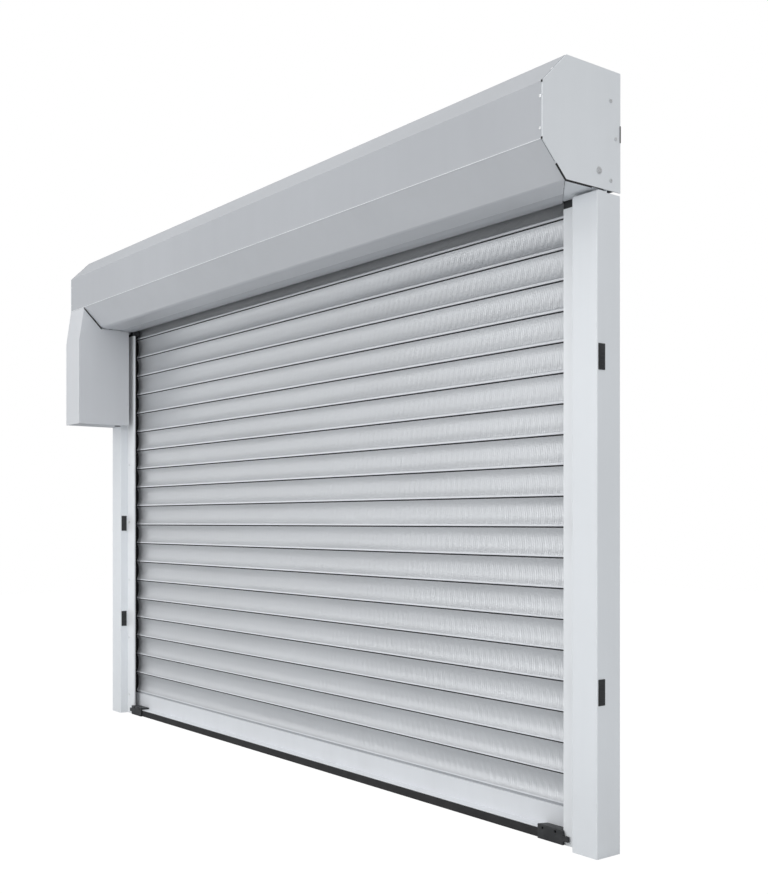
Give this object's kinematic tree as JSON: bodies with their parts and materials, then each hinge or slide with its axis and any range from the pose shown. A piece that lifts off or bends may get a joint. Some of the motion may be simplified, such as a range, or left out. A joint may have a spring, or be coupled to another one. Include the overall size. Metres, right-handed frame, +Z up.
{
  "type": "roller shutter door",
  "caption": "Roller shutter door with a slatted curtain in side guides, a box housing with a barrel, and a chain-drive operator under a side cover.",
  "frame": {"origin": "on the wall plane, at floor level, half way across the doorway", "axes": "+X along the door's width, +Y into the wall, +Z up"},
  "size_m": [2.6874, 0.285, 1.866],
  "materials": {
    "guide_steel": "satin white powder coat",
    "lip_aluminium": "satin white powder coat",
    "slat_aluminium": "satin light grey with fine embossed ripple",
    "bar_aluminium": "satin light grey",
    "housing_sheet": "satin light grey",
    "cover_sheet": "satin light grey",
    "black_plastic": "matte",
    "black_rubber": "matte",
    "zinc_steel": "zinc plated",
    "galvanised_steel": "galvanised",
    "dark_steel": "oiled",
    "cast_housing": "satin grey paint",
    "motor_paint": "satin dark paint"
  },
  "bodies": {
    "door_frame": {"right_guide_tube": "guide_steel", "left_guide_tube": "guide_steel", "right_guide_channel": "lip_aluminium", "left_guide_channel": "lip_aluminium", "sliding_strips": "black_plastic", "entry_funnels": "black_plastic", "slot_plugs": "black_plastic", "guide_screws": "zinc_steel", "guide_head_brackets": "guide_steel", "guide_head_bolts": "zinc_steel", "box_fascia": "housing_sheet", "inspection_panel": "cover_sheet", "inlet_rail": "housing_sheet", "box_back_plate": "galvanised_steel", "right_end_plate": "guide_steel", "left_end_plate": "guide_steel", "end_plate_trim": "black_rubber", "fascia_rivets": "zinc_steel", "box_wall_brackets": "galvanised_steel", "end_plate_screws": "zinc_steel", "barrel_bearings": "cast_housing", "drive_chain": "dark_steel", "operator_bracket": "galvanised_steel", "operator_gearbox": "cast_housing", "operator_motor": "motor_paint", "operator_cover": "cover_sheet", "operator_screws": "zinc_steel", "cable_gland": "black_plastic"},
    "curtain_foot": {"bottom_bar": "bar_aluminium", "bottom_seal": "black_rubber", "end_stops": "black_plastic", "end_stop_screws": "zinc_steel"},
    "barrel": {"barrel_tube": "galvanised_steel", "idler_end_plug": "dark_steel", "drive_end_plug": "dark_steel", "barrel_sprocket": "dark_steel", "curtain_hangers": "dark_steel", "hanger_screws": "zinc_steel"},
    "drive_shaft": {"drive_sprocket": "dark_steel"},
    "slat_01_body": {"slat_01": "slat_aluminium"},
    "slat_02_body": {"slat_02": "slat_aluminium"},
    "slat_03_body": {"slat_03": "slat_aluminium"},
    "slat_04_body": {"slat_04": "slat_aluminium"},
    "slat_05_body": {"slat_05": "slat_aluminium"},
    "slat_06_body": {"slat_06": "slat_aluminium"},
    "slat_07_body": {"slat_07": "slat_aluminium"},
    "slat_08_body": {"slat_08": "slat_aluminium"},
    "slat_09_body": {"slat_09": "slat_aluminium"},
    "slat_10_body": {"slat_10": "slat_aluminium"},
    "slat_11_body": {"slat_11": "slat_aluminium"},
    "slat_12_body": {"slat_12": "slat_aluminium"},
    "slat_13_body": {"slat_13": "slat_aluminium"},
    "slat_14_body": {"slat_14": "slat_aluminium"},
    "slat_15_body": {"slat_15": "slat_aluminium"},
    "slat_16_body": {"slat_16": "slat_aluminium"},
    "slat_17_body": {"slat_17": "slat_aluminium"},
    "slat_18_body": {"slat_18": "slat_aluminium"},
    "slat_19_body": {"slat_19": "slat_aluminium"},
    "slat_20_body": {"slat_20": "slat_aluminium"},
    "slat_21_body": {"slat_21": "slat_aluminium"}
  },
  "joints": [
    {"name": "curtain_lift", "type": "slide", "parent": "door_frame", "child": "curtain_foot", "axis": [0, 0, 1], "range_m": [0, 1.45]},
    {"name": "slat_01_rise", "type": "slide", "parent": "door_frame", "child": "slat_01_body", "axis": [0, 0, 1], "range_m": [0, 1.4505], "deforming": ["slat_01"]},
    {"name": "slat_02_rise", "type": "slide", "parent": "door_frame", "child": "slat_02_body", "axis": [0, 0, 1], "range_m": [0, 1.385], "deforming": ["slat_02"]},
    {"name": "slat_03_rise", "type": "slide", "parent": "door_frame", "child": "slat_03_body", "axis": [0, 0, 1], "range_m": [0, 1.3195], "deforming": ["slat_03"]},
    {"name": "slat_04_rise", "type": "slide", "parent": "door_frame", "child": "slat_04_body", "axis": [0, 0, 1], "range_m": [0, 1.254], "deforming": ["slat_04"]},
    {"name": "slat_05_rise", "type": "slide", "parent": "door_frame", "child": "slat_05_body", "axis": [0, 0, 1], "range_m": [0, 1.1885], "deforming": ["slat_05"]},
    {"name": "slat_06_rise", "type": "slide", "parent": "door_frame", "child": "slat_06_body", "axis": [0, 0, 1], "range_m": [0, 1.123], "deforming": ["slat_06"]},
    {"name": "slat_07_rise", "type": "slide", "parent": "door_frame", "child": "slat_07_body", "axis": [0, 0, 1], "range_m": [0, 1.0575], "deforming": ["slat_07"]},
    {"name": "slat_08_rise", "type": "slide", "parent": "door_frame", "child": "slat_08_body", "axis": [0, 0, 1], "range_m": [0, 0.992], "deforming": ["slat_08"]},
    {"name": "slat_09_rise", "type": "slide", "parent": "door_frame", "child": "slat_09_body", "axis": [0, 0, 1], "range_m": [0, 0.9265], "deforming": ["slat_09"]},
    {"name": "slat_10_rise", "type": "slide", "parent": "door_frame", "child": "slat_10_body", "axis": [0, 0, 1], "range_m": [0, 0.861], "deforming": ["slat_10"]},
    {"name": "slat_11_rise", "type": "slide", "parent": "door_frame", "child": "slat_11_body", "axis": [0, 0, 1], "range_m": [0, 0.7955], "deforming": ["slat_11"]},
    {"name": "slat_12_rise", "type": "slide", "parent": "door_frame", "child": "slat_12_body", "axis": [0, 0, 1], "range_m": [0, 0.73], "deforming": ["slat_12"]},
    {"name": "slat_13_rise", "type": "slide", "parent": "door_frame", "child": "slat_13_body", "axis": [0, 0, 1], "range_m": [0, 0.6645], "deforming": ["slat_13"]},
    {"name": "slat_14_rise", "type": "slide", "parent": "door_frame", "child": "slat_14_body", "axis": [0, 0, 1], "range_m": [0, 0.599], "deforming": ["slat_14"]},
    {"name": "slat_15_rise", "type": "slide", "parent": "door_frame", "child": "slat_15_body", "axis": [0, 0, 1], "range_m": [0, 0.5335], "deforming": ["slat_15"]},
    {"name": "slat_16_rise", "type": "slide", "parent": "door_frame", "child": "slat_16_body", "axis": [0, 0, 1], "range_m": [0, 0.468], "deforming": ["slat_16"]},
    {"name": "slat_17_rise", "type": "slide", "parent": "door_frame", "child": "slat_17_body", "axis": [0, 0, 1], "range_m": [0, 0.4025], "deforming": ["slat_17"]},
    {"name": "slat_18_rise", "type": "slide", "parent": "door_frame", "child": "slat_18_body", "axis": [0, 0, 1], "range_m": [0, 0.337], "deforming": ["slat_18"]},
    {"name": "slat_19_rise", "type": "slide", "parent": "door_frame", "child": "slat_19_body", "axis": [0, 0, 1], "range_m": [0, 0.2715], "deforming": ["slat_19"]},
    {"name": "slat_20_rise", "type": "slide", "parent": "door_frame", "child": "slat_20_body", "axis": [0, 0, 1], "range_m": [0, 0.206], "deforming": ["slat_20"]},
    {"name": "slat_21_rise", "type": "slide", "parent": "door_frame", "child": "slat_21_body", "axis": [0, 0, 1], "range_m": [0, 0.1405], "deforming": ["slat_21"]},
    {"name": "barrel_spin", "type": "hinge", "parent": "door_frame", "child": "barrel", "pos_m": [0, -0.1325, 1.723], "axis": [1, 0, 0], "range_deg": [0, 1206], "deforming": ["curtain_hangers", "drive_chain"]},
    {"name": "drive_sprocket_spin", "type": "hinge", "parent": "door_frame", "child": "drive_shaft", "pos_m": [0, -0.1725, 1.36966], "axis": [1, 0, 0], "range_deg": [0, 1206]}
  ],
  "couplings": [
    {"joint": "slat_01_rise", "follows": "curtain_lift", "ratio": 1},
    {"joint": "slat_02_rise", "follows": "curtain_lift", "ratio": 0.95483},
    {"joint": "slat_03_rise", "follows": "curtain_lift", "ratio": 0.90966},
    {"joint": "slat_04_rise", "follows": "curtain_lift", "ratio": 0.86448},
    {"joint": "slat_05_rise", "follows": "curtain_lift", "ratio": 0.81931},
    {"joint": "slat_06_rise", "follows": "curtain_lift", "ratio": 0.77414},
    {"joint": "slat_07_rise", "follows": "curtain_lift", "ratio": 0.72897},
    {"joint": "slat_08_rise", "follows": "curtain_lift", "ratio": 0.68379},
    {"joint": "slat_09_rise", "follows": "curtain_lift", "ratio": 0.63862},
    {"joint": "slat_10_rise", "follows": "curtain_lift", "ratio": 0.59345},
    {"joint": "slat_11_rise", "follows": "curtain_lift", "ratio": 0.54828},
    {"joint": "slat_12_rise", "follows": "curtain_lift", "ratio": 0.5031},
    {"joint": "slat_13_rise", "follows": "curtain_lift", "ratio": 0.45793},
    {"joint": "slat_14_rise", "follows": "curtain_lift", "ratio": 0.41276},
    {"joint": "slat_15_rise", "follows": "curtain_lift", "ratio": 0.36759},
    {"joint": "slat_16_rise", "follows": "curtain_lift", "ratio": 0.32241},
    {"joint": "slat_17_rise", "follows": "curtain_lift", "ratio": 0.27724},
    {"joint": "slat_18_rise", "follows": "curtain_lift", "ratio": 0.23207},
    {"joint": "slat_19_rise", "follows": "curtain_lift", "ratio": 0.1869},
    {"joint": "slat_20_rise", "follows": "curtain_lift", "ratio": 0.14172},
    {"joint": "slat_21_rise", "follows": "curtain_lift", "ratio": 0.09655},
    {"joint": "barrel_spin", "follows": "curtain_lift", "rad_per_m": 14.5},
    {"joint": "drive_sprocket_spin", "follows": "curtain_lift", "rad_per_m": 14.5}
  ]
}
